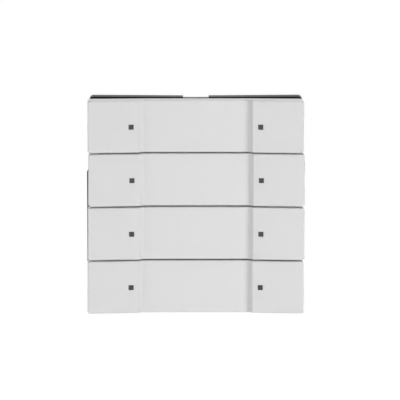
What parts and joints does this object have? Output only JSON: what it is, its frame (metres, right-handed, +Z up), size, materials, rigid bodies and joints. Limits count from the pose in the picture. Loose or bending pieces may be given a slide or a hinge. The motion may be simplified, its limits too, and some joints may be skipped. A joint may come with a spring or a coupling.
{
  "type": "pushbutton sensor",
  "caption": "Flat square wall pushbutton sensor: rocker bars with a sunk middle, raised ends and small indicator windows, on a dark carrier with a rear connector box.",
  "frame": {"origin": "centre of the mounting face, where the flange rests on the support ring, midway between the two fixing holes", "axes": "+X to the right as seen from the front, +Y from the front into the wall, +Z up"},
  "size_m": [0.0633, 0.0273, 0.0627],
  "materials": {
    "rocker_white": "fine satin",
    "lever_black": "matt",
    "carrier_black": "fine satin",
    "cover_black": "fine satin",
    "window_smoke": "smoked, polished",
    "plunger_grey": "matt",
    "spring_steel": "drawn wire",
    "claw_steel": "rolled strip",
    "screw_zinc": "zinc plated",
    "board_green": "solder mask",
    "header_black": "matt",
    "pin_tin": "tinned",
    "led_resin": "moulded resin",
    "chip_black": "moulded",
    "chip_grey": "ceramic",
    "crystal_can": "drawn can",
    "capacitor_can": "drawn can",
    "label_grey": "plain film",
    "guide_clear": "clear moulded"
  },
  "bodies": {
    "housing": {"carrier": "carrier_black", "rear_cover": "cover_black", "circuit_board": "board_green", "pin_header": "header_black", "header_pins": "pin_tin", "status_leds": "led_resin", "controller_chip": "chip_black", "crystal": "crystal_can", "smoothing_capacitor": "capacitor_can", "small_chips": "chip_grey", "rear_label": "label_grey", "cover_screws": "screw_zinc", "snap_domes": "spring_steel", "light_guide_left": "guide_clear", "light_guide_right": "guide_clear", "return_spring_left_1": "spring_steel", "return_spring_right_1": "spring_steel", "return_spring_left_2": "spring_steel", "return_spring_right_2": "spring_steel", "return_spring_left_3": "spring_steel", "return_spring_right_3": "spring_steel", "return_spring_left_4": "spring_steel", "return_spring_right_4": "spring_steel"},
    "rocker_1": {"rocker_cap_1": "rocker_white", "rocker_lever_1": "lever_black", "window_left_1": "window_smoke", "window_right_1": "window_smoke"},
    "plunger_body_left_1": {"plunger_left_1": "plunger_grey"},
    "plunger_body_right_1": {"plunger_right_1": "plunger_grey"},
    "rocker_2": {"rocker_cap_2": "rocker_white", "rocker_lever_2": "lever_black", "window_left_2": "window_smoke", "window_right_2": "window_smoke"},
    "plunger_body_left_2": {"plunger_left_2": "plunger_grey"},
    "plunger_body_right_2": {"plunger_right_2": "plunger_grey"},
    "rocker_3": {"rocker_cap_3": "rocker_white", "rocker_lever_3": "lever_black", "window_left_3": "window_smoke", "window_right_3": "window_smoke"},
    "plunger_body_left_3": {"plunger_left_3": "plunger_grey"},
    "plunger_body_right_3": {"plunger_right_3": "plunger_grey"},
    "rocker_4": {"rocker_cap_4": "rocker_white", "rocker_lever_4": "lever_black", "window_left_4": "window_smoke", "window_right_4": "window_smoke"},
    "plunger_body_left_4": {"plunger_left_4": "plunger_grey"},
    "plunger_body_right_4": {"plunger_right_4": "plunger_grey"},
    "claw_body_left": {"claw_left": "claw_steel"},
    "claw_body_right": {"claw_right": "claw_steel"}
  },
  "joints": [
    {"name": "rocker_tilt_1", "type": "hinge", "parent": "housing", "child": "rocker_1", "pos_m": [0, -0.0065, 0.02363], "axis": [0, 0, 1], "range_deg": [-1.2, 1.2], "stiffness_Nm_per_rad": 0.3},
    {"name": "plunger_slide_left_1", "type": "slide", "parent": "housing", "child": "plunger_body_left_1", "axis": [0, 1, 0], "range_m": [-0.00054, 0.00054], "deforming": ["return_spring_left_1", "snap_domes"]},
    {"name": "plunger_slide_right_1", "type": "slide", "parent": "housing", "child": "plunger_body_right_1", "axis": [0, 1, 0], "range_m": [-0.00054, 0.00054], "deforming": ["return_spring_right_1", "snap_domes"]},
    {"name": "rocker_tilt_2", "type": "hinge", "parent": "housing", "child": "rocker_2", "pos_m": [0, -0.0065, 0.00788], "axis": [0, 0, 1], "range_deg": [-1.2, 1.2], "stiffness_Nm_per_rad": 0.3},
    {"name": "plunger_slide_left_2", "type": "slide", "parent": "housing", "child": "plunger_body_left_2", "axis": [0, 1, 0], "range_m": [-0.00054, 0.00054], "deforming": ["return_spring_left_2", "snap_domes"]},
    {"name": "plunger_slide_right_2", "type": "slide", "parent": "housing", "child": "plunger_body_right_2", "axis": [0, 1, 0], "range_m": [-0.00054, 0.00054], "deforming": ["return_spring_right_2", "snap_domes"]},
    {"name": "rocker_tilt_3", "type": "hinge", "parent": "housing", "child": "rocker_3", "pos_m": [0, -0.0065, -0.00788], "axis": [0, 0, 1], "range_deg": [-1.2, 1.2], "stiffness_Nm_per_rad": 0.3},
    {"name": "plunger_slide_left_3", "type": "slide", "parent": "housing", "child": "plunger_body_left_3", "axis": [0, 1, 0], "range_m": [-0.00054, 0.00054], "deforming": ["return_spring_left_3", "snap_domes"]},
    {"name": "plunger_slide_right_3", "type": "slide", "parent": "housing", "child": "plunger_body_right_3", "axis": [0, 1, 0], "range_m": [-0.00054, 0.00054], "deforming": ["return_spring_right_3", "snap_domes"]},
    {"name": "rocker_tilt_4", "type": "hinge", "parent": "housing", "child": "rocker_4", "pos_m": [0, -0.0065, -0.02363], "axis": [0, 0, 1], "range_deg": [-1.2, 1.2], "stiffness_Nm_per_rad": 0.3},
    {"name": "plunger_slide_left_4", "type": "slide", "parent": "housing", "child": "plunger_body_left_4", "axis": [0, 1, 0], "range_m": [-0.00054, 0.00054], "deforming": ["return_spring_left_4", "snap_domes"]},
    {"name": "plunger_slide_right_4", "type": "slide", "parent": "housing", "child": "plunger_body_right_4", "axis": [0, 1, 0], "range_m": [-0.00054, 0.00054], "deforming": ["return_spring_right_4", "snap_domes"]},
    {"name": "claw_flex_left", "type": "hinge", "parent": "housing", "child": "claw_body_left", "pos_m": [-0.0211, 0.0078, 0], "axis": [0, 0, 1], "range_deg": [0, 8], "stiffness_Nm_per_rad": 0.05},
    {"name": "claw_flex_right", "type": "hinge", "parent": "housing", "child": "claw_body_right", "pos_m": [0.0211, 0.0078, 0], "axis": [0, 0, 1], "range_deg": [-8, 0], "stiffness_Nm_per_rad": 0.05}
  ],
  "couplings": [
    {"joint": "plunger_slide_left_1", "follows": "rocker_tilt_1", "m_per_rad": -0.0255},
    {"joint": "plunger_slide_right_1", "follows": "rocker_tilt_1", "m_per_rad": 0.0255},
    {"joint": "plunger_slide_left_2", "follows": "rocker_tilt_2", "m_per_rad": -0.0255},
    {"joint": "plunger_slide_right_2", "follows": "rocker_tilt_2", "m_per_rad": 0.0255},
    {"joint": "plunger_slide_left_3", "follows": "rocker_tilt_3", "m_per_rad": -0.0255},
    {"joint": "plunger_slide_right_3", "follows": "rocker_tilt_3", "m_per_rad": 0.0255},
    {"joint": "plunger_slide_left_4", "follows": "rocker_tilt_4", "m_per_rad": -0.0255},
    {"joint": "plunger_slide_right_4", "follows": "rocker_tilt_4", "m_per_rad": 0.0255}
  ]
}
